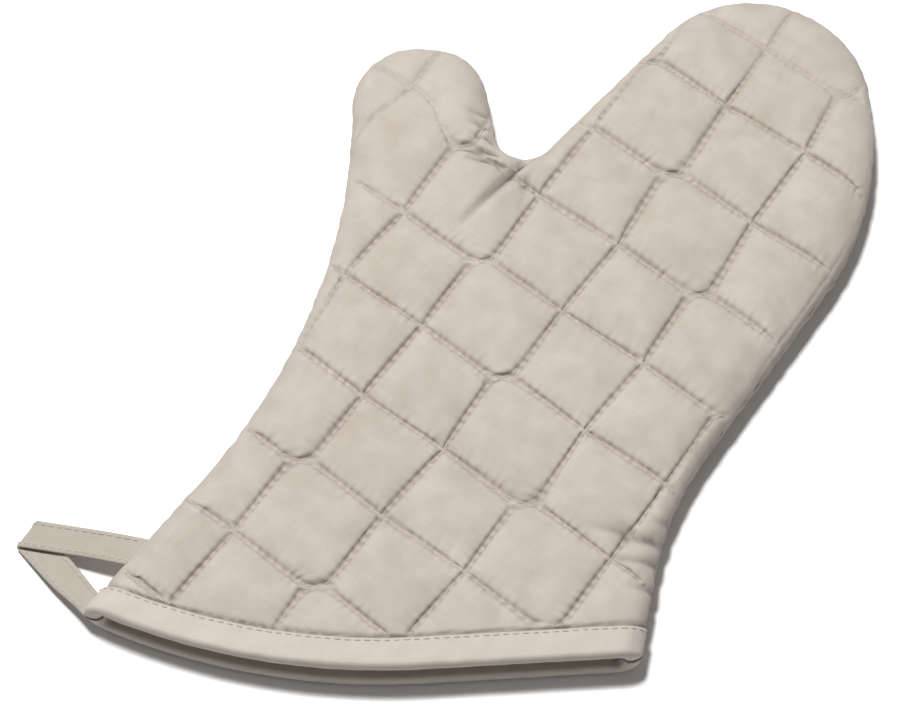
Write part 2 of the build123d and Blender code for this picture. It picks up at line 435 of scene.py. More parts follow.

# A crease runs on past its ends and fades; the deep ones also get painted shade
creasing = {"overrun": 0.1, "fadePower": 0.7, "shadeFrom": 1.0, "shadeFull": 3.4, "shadeWidth": 0.8}

# Creases pressed into the front: from, to, depth and half width
frontCreases = [
    ((-38.0, 58.5), (-40.3, 23.0), 4.8, 1.7),
    ((-38.0, 58.0), (-40.3, 26.0), 0.8, 4.0),
    ((-33.6, 55.0), (-35.0, 28.0), -0.9, 2.4),
    ((-62.0, 70.4), (-69.0, 65.6), 1.7, 1.1),
    ((-58.0, 65.8), (-66.0, 62.0), 1.4, 1.0),
    ((-53.0, 61.5), (-62.5, 58.6), 1.9, 1.1),
    ((-49.5, 56.5), (-61.0, 49.4), 2.6, 1.3),
    ((-50.0, 51.2), (-57.0, 47.0), 1.9, 1.1),
    ((-42.5, 53.4), (-50.0, 51.2), 2.0, 1.1),
    ((-31.0, 52.0), (-26.0, 41.0), 1.1, 1.3),
    ((95.4, -45.8), (74.0, -55.4), 2.2, 1.5),
    ((92.0, -40.0), (74.0, -50.0), -0.8, 2.0),
    ((105.0, -41.5), (86.0, -53.0), 1.8, 1.4),
    ((104.0, -51.0), (88.0, -61.0), 1.9, 1.4),
    ((113.5, -57.5), (99.0, -66.5), 1.6, 1.3),
    ((102.0, -32.5), (89.0, -41.0), 1.2, 1.3),
]


def quiltedStart(pattern):
    # Places before the cloth is blown up: the stitched lines pulled down, the cells a little raised
    place, normal, fromSeam = pillow(pattern["flat"], 0.0)
    toColumn, toRow = toStitches(pattern["sewn"])
    puff = (1 - np.exp(-toColumn / panel["reach"])) * (1 - np.exp(-toRow / panel["reach"]))
    depth = panel["valley"] * np.clip(fromSeam / panel["valleyFrom"], 0, 1) * (1 - panel["puffShare"] * puff)
    band = aboveCuff(pattern["flat"]) < panel["bindingWidth"]
    depth = np.where(band, panel["bandRecess"], depth)
    onLine = 1e-3
    pinned = (toColumn < onLine) | (toRow < onLine) | band
    pinned[pattern["border"]] = True
    return place - normal * depth[:, None], pinned


def inflate(piece, pinned):
    # Cloth simulation of a sheet held at its stitches and blown up from below
    scene = bpy.context.scene
    piece.data.transform(Matrix.Scale(panel["simScale"], 4))
    pins = piece.vertex_groups.new(name="pins")
    pins.add([int(i) for i in np.nonzero(pinned)[0]], 1.0, "REPLACE")
    cloth = piece.modifiers.new("cloth", "CLOTH")
    cloth.point_cache.frame_start = 1
    cloth.point_cache.frame_end = panel["frames"]
    for key, value in clothSettings.items():
        setattr(cloth.settings, key, value)
    cloth.settings.effector_weights.gravity = 0
    cloth.collision_settings.use_collision = False
    for f in range(1, panel["frames"] + 1):
        scene.frame_set(f)
    result = piece.evaluated_get(bpy.context.evaluated_depsgraph_get()).data
    places = gathered(result.vertices, "co", 3) / panel["simScale"] / mm
    bpy.data.objects.remove(piece)
    scene.frame_set(1)
    return places


def creaseDepth(flat, creases):
    # Depth of the pressed creases at each point, deepest at the first end and fading towards the second
    total = np.zeros(len(flat))
    past = 1 + creasing["overrun"]
    for start, end, depth, width in creases:
        a = np.array(start)
        ab = np.array(end) - a
        t = np.clip((flat - a) @ ab / (ab @ ab), -creasing["overrun"], past)
        away = np.linalg.norm(flat - a - t[:, None] * ab, axis=1)
        fade = np.clip(past - t, 0, 1) ** creasing["fadePower"]
        total += depth * fade * np.exp(-(away / width) ** 2)
    return total


def paintedCreaseShade(flat, creases):
    # Painted shade in the deeper creases, from 0 to 1
    deep = []
    for start, end, depth, width in creases:
        if depth > creasing["shadeFrom"]:
            deep.append((start, end, min(depth / creasing["shadeFull"], 1.0), creasing["shadeWidth"] * width))
    return np.clip(creaseDepth(flat, deep), 0, 1)


def cuffPress(flat):
    # How much thinner the layers are beside the cuff, where the binding holds them together
    return panel["cuffPress"] * (1 - smoothStep(*panel["cuffPressTo"], aboveCuff(flat)))


def quiltShow(flat, fromSeam):
    # How plainly the quilting shows, from 0 to 1: less by the side seam, on the thumb and at the fingertips
    along = (flat - np.array(thumb["base"])) @ np.array(thumb["way"])
    onThumb = smoothStep(*thumb["fadeAlong"], along) * smoothStep(*thumb["fadeAcross"], -flat[:, 0])
    atTip = panel["tipFade"] * smoothStep(*panel["tipFrom"], flat[:, 1])
    return smoothStep(*panel["showFrom"], fromSeam) * (1 - thumb["fade"] * onThumb) * (1 - atTip)


def varied(value, wave, flat, seed):
    # A value that changes a little from place to place: wave is the share and the size
    share, size = wave
    return value * (1 + share * ripple(flat, size, seed))


def sewnDepth(flat, sewn, fromSeam, fromCuff, seed):
    # Narrow channels along the stitches, with small puckers beside them
    toColumn, toRow = toStitches(sewn)
    width = varied(panel["channelWidth"], panel["widthWave"], flat, seed)
    channel = np.maximum(np.exp(-(toColumn / width) ** 2), np.exp(-(toRow / width) ** 2))
    depth = varied(panel["channelDepth"], panel["depthWave"], flat, seed + 1) * channel
    long, short, reach = panel["puckerLong"], panel["puckerShort"], panel["puckerReach"]
    byColumn = ripple(flat, (long, short), seed + 2) * np.exp(-toColumn / reach)
    byRow = ripple(flat, (short, long), seed + 3) * np.exp(-toRow / reach)
    depth += panel["pucker"] * (byColumn + byRow)
    clear = fromCuff - panel["bindingWidth"]
    return depth * quiltShow(flat, fromSeam) * smoothStep(*panel["puckerClear"], clear)


def quiltedPanel(name, pattern, blown, side, creases, seed):
    # One outer panel: side 1 lies on top, side -1 underneath, where the table flattens it
    maps = {"cloth": pattern["flat"], "quilting": pattern["sewn"]}
    piece = subdivided(newMesh(name, blown, pattern["faces"], **maps))
    flat = meshMap(piece, "cloth")
    sewn = meshMap(piece, "quilting")
    steady, _, fromSeam = pillow(flat, 0.0)
    fromCuff = aboveCuff(flat)
    seamAt = distanceTo(seam, flat, 1)[2]
    band = fromCuff < panel["bindingWidth"] + panel["bandHold"]
    hold = smoothStep(*panel["rimSteady"], fromSeam)[:, None]
    places = steady + (meshPlaces(piece) - steady) * np.where(band[:, None], 1, hold)
    if side < 0:
        places = steady + (places - steady) * panel["tableShare"]
    normals = meshNormals(piece)
    inward = smoothStep(*panel["creaseFrom"], fromSeam)
    depth = sewnDepth(flat, sewn, fromSeam, fromCuff, seed) + creaseDepth(flat, creases) * inward
    depth = panel["deepest"] * np.tanh(depth / panel["deepest"])
    swell, swellSize = panel["swell"]
    depth += swell * ripple(flat, swellSize, seed + 4) * hold[:, 0]
    alongSeam = np.stack([seamAt, fromSeam * panel["seamLong"]], axis=1)
    ruffle = ripple(alongSeam, panel["seamWave"], seed + 5) * np.exp(-fromSeam / panel["seamReach"])
    pinch = panel["seamPinch"] * np.exp(-(fromSeam / panel["pinchWidth"]) ** 2)
    free = fromCuff >= panel["bindingWidth"] + panel["bandClear"]
    depth = np.where(free, depth + panel["seamPucker"] * ruffle + pinch, 0)
    places -= normals * depth[:, None]
    if side < 0:
        places[:, 2] = 2 * form["halfHeight"] - np.minimum(places[:, 2], 2 * form["halfHeight"])
        piece.data.flip_normals()
    setPlaces(piece, places)
    # Painted shade, not geometry: a dark line along the binding's upper edge and darkening in the deeper
    # creases, kept in a map with how plainly the quilting shows
    ditch = np.exp(-((fromCuff - panel["ditch"]) / panel["ditchWidth"]) ** 2)
    ditchShare, ditchSize = panel["ditchWave"]
    ditch *= panel["ditchShade"] + ditchShare * ripple(flat, ditchSize, seed + 6)
    shade = np.maximum(paintedCreaseShade(flat, creases) * inward, ditch)
    addMap(piece.data, "pressing", np.stack([shade, quiltShow(flat, fromSeam)], axis=1))
    return piece


def stitchRuns(piece, lift, creases):
    # The rows of quilting stitches as runs of points on the finished cloth, where no crease hides them
    flat = meshMap(piece, "cloth")
    sewn = meshMap(piece, "quilting")
    clear = pillow(flat, 0.0)[2] > quiltRow["fromSeam"]
    clear &= aboveCuff(flat) > panel["bindingWidth"] + quiltRow["fromCuff"]
    clear &= np.abs(creaseDepth(flat, creases)) < quiltRow["hiddenIn"]
    places = meshPlaces(piece) + meshNormals(piece) * lift
    places[:, 2] = np.maximum(places[:, 2], lift)
    runs = []
    for axis, first in enumerate((quilt["column"], quilt["row"])):
        on = np.nonzero((toStitches(sewn)[axis] < quiltRow["onLine"]) & clear)[0]
        line = np.round((sewn[on, axis] - first) / quilt["pitch"])
        for k in np.unique(line):
            row = on[line == k]
            row = row[np.argsort(sewn[row, 1 - axis])]
            breaks = np.nonzero(np.diff(sewn[row, 1 - axis]) > quiltRow["longestGap"])[0] + 1
            runs += [places[r] for r in np.split(row, breaks) if len(r) > quiltRow["fewest"]]
    return runs


pattern = patternGrid(0.0, panel["offsets"], panel["cuffTrim"], panel["foldColumns"], panel["foldRows"])
print("pattern cut:", len(pattern["flat"]), "points")
blown, pinned = quiltedStart(pattern)
blown = inflate(newMesh("trialCloth", blown, pattern["faces"]), pinned)
frontShell = quiltedPanel("frontShell", pattern, blown, 1, frontCreases, seed=1)
backShell = quiltedPanel("backShell", pattern, blown, -1, [], seed=11)
frontRuns = stitchRuns(frontShell, quiltRow["frontLift"], frontCreases)
backRuns = stitchRuns(backShell, quiltRow["backLift"], [])
for piece in (frontShell, backShell):
    thickened(piece, panel["thickness"], -1)
print("outer panels blown up and sewn")

# Batting: thinner where the stitches pull the cloth down
batting = {
    "inset": 5.75, "thickness": 4.4, "offsets": [0, 2.4, 6.0, 12.0], "cuffTrim": 2.0, "least": 0.12,
    "dip": 3.4, "dipReach": 2.6, "slack": 0.7, "bandDip": 1.2, "bandMore": 3,
    "creaseSpread": 5.0, "creaseGain": 1.5, "rimShare": 0.6, "rimFull": (0.0, 5.0),
}


def battingSlab(name, side, creases):
    flat, faces = battingCut["flat"], battingCut["faces"]
    places, normal, fromSeam = pillow(flat, batting["inset"])
    places += normal * cuffPress(flat)[:, None]
    wide = []
    for start, end, depth, width in creases:
        wide.append((start, end, batting["creaseGain"] * max(depth, 0), width + batting["creaseSpread"]))
    near = np.minimum(*toStitches(battingCut["sewn"]))
    dip = batting["dip"] * np.exp(-near / batting["dipReach"]) + creaseDepth(flat, wide)
    dip += cuffPress(flat) + batting["slack"]
    dip += batting["bandDip"] * (aboveCuff(flat) < panel["bindingWidth"] + batting["bandMore"])
    if side < 0:
        places, faces = turnedOver(places, faces)
    piece = newMesh(name, places, faces, cloth=flat)
    full = piece.vertex_groups.new(name="full")
    rim = batting["rimShare"] + (1 - batting["rimShare"]) * smoothStep(*batting["rimFull"], fromSeam)
    share = np.clip(1 - dip / batting["thickness"], batting["least"], 1) * rim
    for i, value in enumerate(share):
        full.add([i], float(value), "REPLACE")
    wall = piece.modifiers.new("thickness", "SOLIDIFY")
    wall.thickness = batting["thickness"] * mm
    wall.offset = 1
    wall.vertex_group = "full"
    wall.thickness_vertex_group = 0
    return baked(piece)


battingCut = patternGrid(batting["inset"], batting["offsets"], batting["cuffTrim"])
frontBatting = battingSlab("frontBatting", 1, frontCreases)
backBatting = battingSlab("backBatting", -1, [])

# Lining round the hand
lining = {"inset": 6.45, "thickness": 0.8, "offsets": [0, 4.0, 9.0, 14.0], "cuffTrim": 2.0,
          "slack": 0.25, "slackFrom": (2.0, 12.0), "wave": 21.0}


def liningSheet(name, side, seed):
    flat, faces = liningCut["flat"], liningCut["faces"]
    places, normal, fromSeam = pillow(flat, lining["inset"])
    slack = lining["slack"] * smoothStep(*lining["slackFrom"], fromSeam)
    places -= normal * (slack * (1 + ripple(flat, lining["wave"], seed)) - cuffPress(flat))[:, None]
    if side < 0:
        places, faces = turnedOver(places, faces)
    return thickened(subdivided(newMesh(name, places, faces, cloth=flat)), lining["thickness"], 0)


liningCut = patternGrid(lining["inset"], lining["offsets"], lining["cuffTrim"])
frontLining = liningSheet("frontLining", 1, seed=21)
backLining = liningSheet("backLining", -1, seed=22)
print("batting and lining laid in")

# Binding: tape folded over the cuff's edge of each panel, its ends left a little open at the side seam
binding = {
    "width": 11.0, "tape": 0.8, "outer": 0.45, "inner": 6.1, "innerWidth": 11.0, "fold": 1.9, "lip": 0.4,
    "count": 260, "length": 210.0, "outerSteps": 9, "foldSteps": 13, "innerSteps": 7,
    "wave": 0.32, "waveSize": (8.0, 7.0), "waveFrom": (1.0, 9.0), "endGap": 1.2, "endLength": 9.0,
    "offTable": 0.02, "stitchLine": 10.1, "stitchLift": 0.1, "stitchFrom": 3,
}


def cuffRow(distance, inset, count):
    # Flat points a fixed distance up from the cuff's edge, from side seam to side seam
    tangent = np.gradient(cuff, axis=0)
    tangent /= np.linalg.norm(tangent, axis=1)[:, None]
    row = cuff + np.stack([-tangent[:, 1], tangent[:, 0]], axis=1) * distance
    gap = distanceTo(seam, row, 1)[0] + seamSpare(inset)
    inside = np.nonzero(gap > 0)[0]
    first, last = inside[0], inside[-1]
    left = row[first] + (row[first - 1] - row[first]) * gap[first] / (gap[first] - gap[first - 1])
    right = row[last] + (row[last + 1] - row[last]) * gap[last] / (gap[last] - gap[last + 1])
    return spread(np.vstack([left, row[first:last + 1], right]), count)


def bindingProfile():
    # Across the tape: distance up from the cuff's edge and depth below the outer face
    b = binding
    middle = (b["inner"] + b["outer"]) / 2
    half = (b["inner"] - b["outer"]) / 2
    steps = [(c, b["outer"]) for c in np.linspace(b["width"], b["fold"], b["outerSteps"])]
    for a in np.linspace(0, math.pi, b["foldSteps"])[1:-1]:
        steps.append((b["fold"] - (b["fold"] - b["lip"]) * math.sin(a), middle - half * math.cos(a)))
    return steps + [(c, b["inner"]) for c in np.linspace(b["fold"], b["innerWidth"], b["innerSteps"])]


def bindingLine(distance, inset, across, side, seed):
    # One lengthwise line of the tape, a little wavy, and how far each point lies from the side seam
    count = binding["count"]
    place, normal, fromSeam = pillow(cuffRow(distance, inset, count), inset)
    flat = np.stack([np.linspace(0, binding["length"], count), np.full(count, across)], axis=1)
    wave = binding["wave"] * ripple(flat, binding["waveSize"], seed)
    place += normal * (wave * smoothStep(*binding["waveFrom"], fromSeam))[:, None]
    place[:, 2] += binding["endGap"] * (1 - smoothStep(0.0, binding["endLength"], fromSeam))
    if side < 0:
        lowest = binding["tape"] / 2 + binding["offTable"]
        place[:, 2] = np.maximum(2 * form["halfHeight"] - place[:, 2], lowest)
    return place, flat, fromSeam


def bindingStrip(name, side, seed):
    rows = []
    flats = []
    across = 0.0
    steps = bindingProfile()
    for k, (distance, inset) in enumerate(steps):
        if k:
            across += math.hypot(distance - steps[k - 1][0], inset - steps[k - 1][1])
        place, flat, _ = bindingLine(distance, inset, across, side, seed)
        rows.append(place)
        flats.append(flat)
    n = binding["count"]
    faces = []
    for j in range(len(rows) - 1):
        for i in range(n - 1):
            a = j * n + i
            faces.append([a, a + n, a + n + 1, a + 1][::side])
    piece = newMesh(name, np.concatenate(rows), faces, cloth=np.concatenate(flats))
    return thickened(piece, binding["tape"], 0), across


def bindingRun(side, seed):
    # The row of stitches along the binding's upper edge
    lift = binding["outer"] - binding["tape"] / 2 - binding["stitchLift"]
    across = binding["width"] - binding["stitchLine"]
    place, _, fromSeam = bindingLine(binding["stitchLine"], lift, across, side, seed)
    return [place[fromSeam > binding["stitchFrom"]]]


frontBinding, tapeWidth = bindingStrip("frontBinding", 1, seed=31)
backBinding, _ = bindingStrip("backBinding", -1, seed=32)
print("bindings folded over the cuff")

# Hang loop: one length of tape from the side seam out to its folded tip and back
loop = {
    "corner": (-60.8, -190.16, 11.0), "run": (0.0397, 0.9992), "width": 12.0, "thickness": 1.4, "steps": 150,
    "reach": 41.5, "lower": 4.6, "upper": 30.5, "tip": 12.0, "bend": 1.2, "droop": 12.0, "ease": 6.0,
    "tuck": 3.0, "settle": (-2.0, 16.0), "gather": 0.2, "gatherFrom": 20.0, "bendOver": 5,
    "stitchInset": 1.6, "stitchEnds": 1.5, "stitchStep": 0.8, "hem": 0.9, "stitchLift": 0.1,
    "across": [-0.97, -0.88, -0.78, -0.66, -0.5, -0.25, 0, 0.25, 0.5, 0.66, 0.78, 0.88, 0.97],
    "heights": [0.62, 1, 1, 0.72, 0.62, 0.6, 0.6, 0.6, 0.62, 0.72, 1, 1, 0.62],
}


def loopLay():
    # The two legs' lines in the loop's own plane: s along the seam, u outwards
    a = np.array([loop["upper"], 0.0])
    tip = np.array([loop["tip"], loop["reach"]])
    b = np.array([loop["lower"], 0.0])
    first = (tip - a) / np.linalg.norm(tip - a)
    second = (b - tip) / np.linalg.norm(b - tip)
    fold = (first + second) / np.linalg.norm(first + second)
    across = np.array([-fold[1], fold[0]])
    if across @ first < 0:
        across = -across
    length = np.linalg.norm(tip - a) + np.linalg.norm(b - tip)
    return a, tip, first, across, length


def loopOutward():
    # The way from the side seam out to the loop's tip
    return np.array([-loop["run"][1], loop["run"][0], 0])


def loopPlaces(t, w, h):
    # Points on the folded tape: t along it, w across it, h above its middle
    a, tip, first, across, length = loopLay()
    side = np.array([-first[1], first[0]])
    w = w * (1 - loop["gather"] * smoothStep(length - loop["gatherFrom"], length, t))
    p = a + t[:, None] * first + w[:, None] * side
    q = (p - tip) @ across
    r = loop["bend"]
    quarter = math.pi * r / 2
    turn = np.clip((q + quarter) / r, 0, math.pi)
    m = np.where(q < -quarter, q, np.where(q > quarter, -q, -quarter + (r + h) * np.sin(turn)))
    p = p + (m - q)[:, None] * across
    level = (r + h) * np.cos(turn)
    out = p[:, 1]
    settle = smoothStep(*loop["settle"], out)
    level = np.where(q < 0, h + (level - h) * settle, -h + (level + h) * settle)
    tilt = math.radians(loop["droop"])
    fall = math.tan(tilt) * (np.sqrt(out ** 2 + loop["ease"]) + out) / 2
    run = np.array([*loop["run"], 0])
    stretch = np.where(out > 0, math.cos(tilt), 1.0)
    places = np.array(loop["corner"]) + p[:, :1] * run + (out * stretch)[:, None] * loopOutward()
    places[:, 2] += level - fall * math.cos(tilt)
    return places


def tapeSection():
    # Across the tape: a closed outline with thicker hems along both edges
    half = loop["width"] / 2
    ws = half * np.array(loop["across"])
    hs = loop["thickness"] / 2 * np.array(loop["heights"])
    w = np.concatenate([[-half], ws, [half], ws[::-1]])
    h = np.concatenate([[0], hs, [0], -hs[::-1]])
    return w, h


def loopTape():
    w, h = tapeSection()
    length = loopLay()[4]
    ts = np.linspace(-loop["tuck"], length + loop["tuck"], loop["steps"])
    n = len(w)
    t = np.repeat(ts, n)
    places = loopPlaces(t, np.tile(w, len(ts)), np.tile(h, len(ts)))
    faces = []
    for j in range(len(ts) - 1):
        for i in range(n):
            k = (i + 1) % n
            faces.append([j * n + i, j * n + k, (j + 1) * n + k, (j + 1) * n + i])
    faces.append(list(range(n))[::-1])
    faces.append([(len(ts) - 1) * n + i for i in range(n)])
    return newMesh("hangLoop", places, faces, cloth=np.stack([t, np.tile(w, len(ts))], axis=1))


def loopRuns():
    # Rows of stitches along both edges, on both faces
    t = np.arange(loop["stitchEnds"], loopLay()[4] - loop["stitchEnds"], loop["stitchStep"])
    across = np.full(len(t), loop["width"] / 2 - loop["stitchInset"])
    above = np.full(len(t), loop["thickness"] / 2 * loop["hem"] + loop["stitchLift"])
    return [loopPlaces(t, w * across, h * above) for w in (-1, 1) for h in (-1, 1)]


hangLoop = loopTape()
print("hang loop folded")


def setInputs(node, values):
    for key, value in values.items():
        node.inputs[key].default_value = value


def addNode(tree, kind, values=None, **settings):
    made = tree.nodes.new(kind)
    for key, value in settings.items():
        setattr(made, key, value)
    setInputs(made, values or {})
    return made


def linkAll(tree, links):
    # Joins up nodes: from, its output, to, its input
    for source, output, target, entry in links:
        tree.links.new(source.outputs[output], target.inputs[entry])


def newGroup(title, kind, takes, gives):
    # A node group and its two end nodes; each socket has a name and a kind
    tree = bpy.data.node_groups.new(title, kind)
    for way, sockets in (("INPUT", takes), ("OUTPUT", gives)):
        for name, socket in sockets.items():
            tree.interface.new_socket(name, in_out=way, socket_type="NodeSocket" + socket)
    return tree, tree.nodes.new("NodeGroupInput"), tree.nodes.new("NodeGroupOutput")


def maths(tree, operation, a, b=None):
    # One sum on two values; either may be a socket or a number
    made = addNode(tree, "ShaderNodeMath", operation=operation)
    for i, value in enumerate((a, b)):
        if isinstance(value, bpy.types.NodeSocket):
            tree.links.new(value, made.inputs[i])
        elif value is not None:
            made.inputs[i].default_value = value
    return made.outputs[0]


def times(socket, by):
    return maths(socket.id_data, "MULTIPLY", socket, by)


def plus(socket, more):
    return maths(socket.id_data, "ADD", socket, more)


# Stitches: short lengths of thread set out along a run of points, each a little different
stitch = {"share": 0.74, "thread": 0.34, "bindingPitch": 3.6, "loopPitch": 3.4, "sides": 6, "rings": 5,
          "least": (0.9, 0.9, 0.8), "most": (1.1, 1.1, 1.05), "seed": 4}


def stitchTree():
    takes = {"Geometry": "Geometry", "Pitch": "Float", "Length": "Float", "Thread": "Float",
             "Material": "Material"}
    tree, given, result = newGroup("stitchRow", "GeometryNodeTree", takes, {"Geometry": "Geometry"})
    curve = addNode(tree, "GeometryNodeMeshToCurve")
    points = addNode(tree, "GeometryNodeCurveToPoints", mode="LENGTH")
    ball = {"Segments": stitch["sides"], "Rings": stitch["rings"], "Radius": 1.0}
    bead = addNode(tree, "GeometryNodeMeshUVSphere", ball)
    size = addNode(tree, "ShaderNodeCombineXYZ")
    shape = addNode(tree, "GeometryNodeTransform")
    limits = {0: stitch["least"], 1: stitch["most"], "Seed": stitch["seed"]}
    vary = addNode(tree, "FunctionNodeRandomValue", limits, data_type="FLOAT_VECTOR")
    put = addNode(tree, "GeometryNodeInstanceOnPoints")
    real = addNode(tree, "GeometryNodeRealizeInstances")
    soft = addNode(tree, "GeometryNodeSetShadeSmooth")
    coloured = addNode(tree, "GeometryNodeSetMaterial")
    tree.links.new(times(given.outputs["Length"], 0.5), size.inputs["Z"])
    linkAll(tree, [
        (given, "Geometry", curve, "Mesh"), (curve, "Curve", points, "Curve"),
        (given, "Pitch", points, "Length"), (given, "Thread", size, "X"), (given, "Thread", size, "Y"),
        (bead, "Mesh", shape, "Geometry"), (size, 0, shape, "Scale"),
        (points, "Points", put, "Points"), (shape, "Geometry", put, "Instance"),
        (points, "Rotation", put, "Rotation"), (vary, 0, put, "Scale"),
        (put, "Instances", real, "Geometry"), (real, "Geometry", soft, "Geometry"),
        (soft, "Geometry", coloured, "Geometry"), (given, "Material", coloured, "Material"),
        (coloured, "Geometry", result, "Geometry"),
    ])
    return tree


def sewRow(name, runs, pitch):
    # A mesh of stitches along the runs
    edges = []
    base = 0
    for run in runs:
        edges += [(base + i, base + i + 1) for i in range(len(run) - 1)]
        base += len(run)
    piece = newMesh(name, np.concatenate(runs), [], edges)
    rows = piece.modifiers.new("stitches", "NODES")
    rows.node_group = stitchRow
    given = {"Pitch": pitch * mm, "Length": pitch * stitch["share"] * mm, "Thread": stitch["thread"] * mm,
             "Material": looks["sewingThread"]}
    for socket in stitchRow.interface.items_tree:
        if socket.in_out == "INPUT" and socket.name in given:
            rows[socket.identifier] = given[socket.name]
    return baked(piece)


stitchRow = stitchTree()

# Plain weave: its relief, painted shade and highlight that follow the relief, and noise by how often it
# repeats in a metre across and along the yarn
weave = {"checks": 0.25, "ribs": 0.75, "yarn": (1500.0, 70.0), "clouds": (28.0, 110.0), "fibres": 2600.0,
         "fibreShare": 0.25, "threadLevel": 0.35, "threadShare": 0.35}


def weaveGroup():
    # Plain weave on the cloth's own map: raised threads, painted lighter on their crowns and darker between
    # them, uneven yarn and slow changes of tone
    takes = {"Map": "Vector", "Pitch": "Float", "Slub": "Float", "Mottle": "Float"}
    gives = {"Tone": "Float", "Height": "Float"}
    tree, given, result = newGroup("plainWeave", "ShaderNodeTree", takes, gives)
    parts = addNode(tree, "ShaderNodeSeparateXYZ")
    tree.links.new(given.outputs["Map"], parts.inputs[0])
    turns = maths(tree, "DIVIDE", math.pi, given.outputs["Pitch"])
    across, down = [maths(tree, "SINE", times(parts.outputs[axis], turns)) for axis in "XY"]
    checks = times(times(across, down), weave["checks"])
    ribs = times(*[maths(tree, "ABSOLUTE", wave) for wave in (across, down)])
    threads = plus(checks, times(ribs, weave["ribs"]))

    def grain(x, y):
        scaled = addNode(tree, "ShaderNodeMapping", {"Scale": (x, y, 1.0)})
        made = addNode(tree, "ShaderNodeTexNoise", {"Scale": 1.0, "Detail": 2.0})
        linkAll(tree, [(given, "Map", scaled, "Vector"), (scaled, 0, made, "Vector")])
        return maths(tree, "SUBTRACT", made.outputs["Fac"], 0.5)

    fine, long = weave["yarn"]
    slubs = times(plus(grain(fine, long), grain(long, fine)), given.outputs["Slub"])
    clouds = times(plus(*[grain(often, often) for often in weave["clouds"]]), given.outputs["Mottle"])
    fibre = times(grain(weave["fibres"], weave["fibres"]), weave["fibreShare"])
    # Painted shade and highlight: the tone follows the relief, darker in the hollows between threads
    relief = times(maths(tree, "SUBTRACT", threads, weave["threadLevel"]), weave["threadShare"])
    tone = plus(plus(plus(slubs, clouds), plus(fibre, 0.5)), relief)
    tree.links.new(tone, result.inputs["Tone"])
    tree.links.new(plus(threads, slubs), result.inputs["Height"])
    return tree


# Puckers: noise that lets them wander, how far they reach from the stitches, and the painted shade along the
# stitched lines: its width, its level and the darker dots at the needle holes
pucker = {"wander": 90.0, "drift": 9.0, "swell": 1.6, "reach": 2.6, "line": 1.0, "lineShade": 0.6, "holeShade": 0.4}


def puckerGroup():
    # Quilting on its own map: small ridges that run away from the stitches, and painted shade along the
    # stitched lines, darker in dots at the needle holes
    gives = {"Height": "Float", "ChannelShade": "Float"}
    tree, given, result = newGroup("quiltPucker", "ShaderNodeTree", {"Map": "Vector"}, gives)
    parts = addNode(tree, "ShaderNodeSeparateXYZ")
    wander = addNode(tree, "ShaderNodeTexNoise", {"Scale": pucker["wander"], "Detail": 1.0})
    linkAll(tree, [(given, "Map", parts, 0), (given, "Map", wander, "Vector")])
    drift = times(wander.outputs["Fac"], pucker["drift"])
    swell = times(wander.outputs["Fac"], pucker["swell"])
    heights = []
    channels = []
    for across, along, first, shown in (("X", "Y", "column", "columnShade"), ("Y", "X", "row", "rowShade")):
        off = maths(tree, "SUBTRACT", parts.outputs[across], quilt[first] * mm)
        away = maths(tree, "PINGPONG", off, quilt["pitch"] / 2 * mm)
        turns = times(parts.outputs[along], 2 * math.pi / (quilt["stitch"] * mm))
        ridge = maths(tree, "SINE", plus(turns, drift))
        fade = maths(tree, "EXPONENT", maths(tree, "DIVIDE", away, -pucker["reach"] * mm))
        heights.append(times(times(ridge, fade), swell))
        near = maths(tree, "POWER", maths(tree, "DIVIDE", away, pucker["line"] * mm), 2.0)
        line = maths(tree, "EXPONENT", times(near, -1.0))
        # Painted shade along the line, darker in dots where the needle holes are
        dottedShade = plus(times(maths(tree, "SINE", turns), pucker["holeShade"]), pucker["lineShade"])
        channels.append(times(times(line, dottedShade), quilt[shown]))
    tree.links.new(plus(*heights), result.inputs["Height"])
    tree.links.new(maths(tree, "MAXIMUM", *channels), result.inputs["ChannelShade"])
    return tree


plainWeave = weaveGroup()
quiltPucker = puckerGroup()

# Finishes: dark and light colour of the yarn, thread spacing in millimetres, and how uneven it is; on the
# shell, channel and crease are how dark the painted shade is in the stitched lines and in the creases and at
# the binding's edge
finishes = {
    "shellCloth": {"dark": (0.505, 0.44, 0.375), "light": (0.67, 0.60, 0.535), "pitch": 0.55, "slub": 0.4,
                   "mottle": 0.9, "rough": 0.88, "sheen": 0.12, "bump": 0.35, "pucker": 0.8, "channel": 0.68,
                   "crease": 0.22},
    "bindingTape": {"dark": (0.57, 0.505, 0.435), "light": (0.74, 0.675, 0.605), "pitch": 0.42, "slub": 0.35,
                    "mottle": 0.3, "rough": 0.82, "sheen": 0.16, "bump": 0.25},
    "liningCloth": {"dark": (0.46, 0.40, 0.33), "light": (0.60, 0.54, 0.465), "pitch": 0.6, "slub": 0.5,
                    "mottle": 0.3, "rough": 0.92, "sheen": 0.1, "bump": 0.35},
    "battingFelt": {"dark": (0.62, 0.60, 0.56), "light": (0.80, 0.78, 0.74), "pitch": 1.4, "slub": 0.9,
                    "mottle": 0.8, "rough": 0.97, "sheen": 0.2, "bump": 0.5},
    # The hang loop's tape is the same tape as the binding, coloured darker than the binding
    "loopTape": {"dark": (0.42, 0.37, 0.31), "light": (0.58, 0.52, 0.455), "pitch": 0.42, "slub": 0.4,
                 "mottle": 0.35, "rough": 0.82, "sheen": 0.16, "bump": 0.25},
}

# What all woven finishes share: the shine of cotton, and the heights of weave and puckers in metres
cotton = {"sheenRough": 0.6, "specular": 0.25, "weaveHeight": 0.0002, "puckerHeight": 0.0004}

# Sewing thread, its grain by how often it repeats in a metre
thread = {"dark": (0.46, 0.41, 0.345), "light": (0.63, 0.57, 0.50), "rough": 0.7, "sheen": 0.2,
          "grain": 2200.0}


